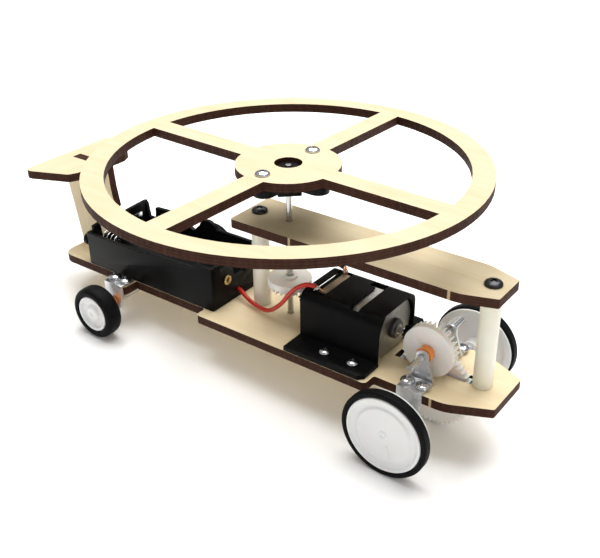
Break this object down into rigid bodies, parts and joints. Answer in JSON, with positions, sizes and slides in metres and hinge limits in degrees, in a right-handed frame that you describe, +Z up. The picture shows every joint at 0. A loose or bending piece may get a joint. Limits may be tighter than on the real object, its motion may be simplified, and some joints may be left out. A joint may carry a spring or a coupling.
{
  "type": "four wheel robot chassis",
  "caption": "Motorised plywood helicopter car: plate chassis on wheels, gear train from one motor to the front axle and to a large spoked rotor, open battery tray and T tail.",
  "frame": {"origin": "centre of the bounding box in X and Y, on the ground under the wheels", "axes": "+X forward towards the nose, +Y to the vehicle's left, +Z up; the chassis is tipped nose up by its larger front wheels"},
  "size_m": [0.1868, 0.126, 0.0753],
  "materials": {
    "plywood": "sanded birch veneer with laser-browned edges",
    "black_plastic": "moulded, slightly satin",
    "black_screw": "black oxide, satin",
    "white_plastic": "moulded, soft gloss",
    "gear_nylon": "slightly translucent moulded nylon",
    "tyre": "soft black rubber, matt",
    "orange_plastic": "soft gloss",
    "brass": "bright",
    "red_insulation": "soft vinyl",
    "black_insulation": "soft vinyl",
    "zinc_plate": "bright zinc plate",
    "bright_screw": "bright zinc plate",
    "shaft_steel": "ground",
    "motor_can": "dull nickel plate"
  },
  "bodies": {
    "chassis": {"base_plate": "plywood", "battery_box": "black_plastic", "battery_contact": "brass", "black_wire": "black_insulation", "front_bracket_far": "zinc_plate", "front_bracket_far_screw_front": "bright_screw", "front_bracket_far_screw_rear": "bright_screw", "front_bracket_near": "zinc_plate", "front_bracket_near_screw_front": "bright_screw", "front_bracket_near_screw_rear": "bright_screw", "front_pillar": "white_plastic", "housing_screw_far_front": "bright_screw", "housing_screw_far_rear": "bright_screw", "housing_screw_near_front": "bright_screw", "housing_screw_near_rear": "bright_screw", "lower_front_screw": "black_screw", "lower_rear_screw": "black_screw", "motor_can": "motor_can", "motor_end_cap": "black_plastic", "motor_housing": "black_plastic", "rear_bracket_far": "zinc_plate", "rear_bracket_far_screw_front": "bright_screw", "rear_bracket_far_screw_rear": "bright_screw", "rear_bracket_near": "zinc_plate", "rear_bracket_near_screw_front": "bright_screw", "rear_bracket_near_screw_rear": "bright_screw", "rear_pillar": "white_plastic", "red_wire": "red_insulation", "tail_fin": "plywood", "tailplane": "plywood", "upper_front_screw": "black_screw", "upper_plate": "plywood", "upper_rear_screw": "black_screw"},
    "rotor": {"rotor_shaft": "shaft_steel", "rotor_crown_gear": "gear_nylon", "rotor_hub": "black_plastic", "rotor_wheel": "plywood", "rotor_screw_near": "bright_screw", "rotor_screw_far": "bright_screw"},
    "motor_rotor": {"motor_shaft": "shaft_steel", "front_pinion": "black_plastic", "rear_pinion": "black_plastic"},
    "drive_gear": {"drive_crown_gear": "gear_nylon", "gear_shaft": "shaft_steel", "gear_bush": "orange_plastic"},
    "front_axle_set": {"front_axle": "shaft_steel", "axle_gear": "gear_nylon", "front_wheel_near": "white_plastic", "front_wheel_far": "white_plastic", "front_tyre_near": "tyre", "front_tyre_far": "tyre"},
    "rear_axle_set": {"rear_axle": "shaft_steel", "rear_wheel_near": "white_plastic", "rear_wheel_far": "white_plastic", "rear_tyre_near": "tyre", "rear_tyre_far": "tyre", "rear_bush_near": "orange_plastic", "rear_bush_far": "orange_plastic"}
  },
  "joints": [
    {"name": "rotor_spin", "type": "hinge", "parent": "chassis", "child": "rotor", "pos_m": [0.01316, 0, 0.03855], "axis": [-0.0448, 0, 0.999], "continuous": true},
    {"name": "motor_spin", "type": "hinge", "parent": "chassis", "child": "motor_rotor", "pos_m": [0.04363, 0, 0.02861], "axis": [0.999, 0, 0.0448], "continuous": true},
    {"name": "drive_gear_spin", "type": "hinge", "parent": "chassis", "child": "drive_gear", "pos_m": [0.06881, 0, 0.02974], "axis": [0, 1, 0], "continuous": true},
    {"name": "front_axle_spin", "type": "hinge", "parent": "chassis", "child": "front_axle_set", "pos_m": [0.0695, 0, 0.01419], "axis": [0, 1, 0], "continuous": true},
    {"name": "rear_axle_spin", "type": "hinge", "parent": "chassis", "child": "rear_axle_set", "pos_m": [-0.0478, 0, 0.00939], "axis": [0, 1, 0], "continuous": true}
  ],
  "couplings": [
    {"joint": "motor_spin", "follows": "rotor_spin", "ratio": -3.125},
    {"joint": "drive_gear_spin", "follows": "rotor_spin", "ratio": 0.83333},
    {"joint": "front_axle_spin", "follows": "rotor_spin", "ratio": -0.16026}
  ]
}
